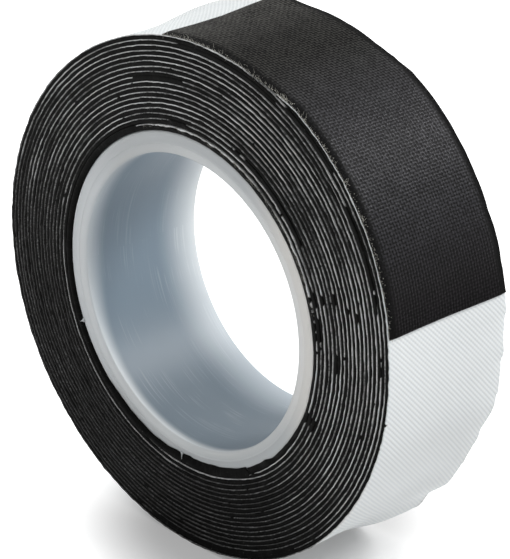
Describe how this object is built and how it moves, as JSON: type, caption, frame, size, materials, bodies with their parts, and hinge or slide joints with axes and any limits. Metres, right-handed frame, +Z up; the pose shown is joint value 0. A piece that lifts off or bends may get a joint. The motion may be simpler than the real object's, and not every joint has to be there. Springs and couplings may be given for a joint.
{
  "type": "grip tape roll",
  "caption": "Roll of black rubber grip tape wound with a white release liner on a translucent plastic core, its end held by a black cloth strip.",
  "frame": {"origin": "on the axis of the core's bore, at the middle of the tape's width", "axes": "+Z up as the roll stands on its rim, +Y along the bore to the back of the roll, +X to the side where the closing strip begins"},
  "size_m": [0.0884, 0.0256, 0.0878],
  "materials": {
    "core_plastic": "natural translucent plastic, smooth with a soft sheen",
    "tape_rubber": "black self-fusing rubber, satin",
    "liner_film": "white release film embossed with fine slanting ribs",
    "strip_cloth": "black plain-woven cloth"
  },
  "bodies": {
    "root": {"core": "core_plastic", "rubber_tape": "tape_rubber", "release_liner": "liner_film", "closing_strip": "strip_cloth"}
  },
  "joints": []
}
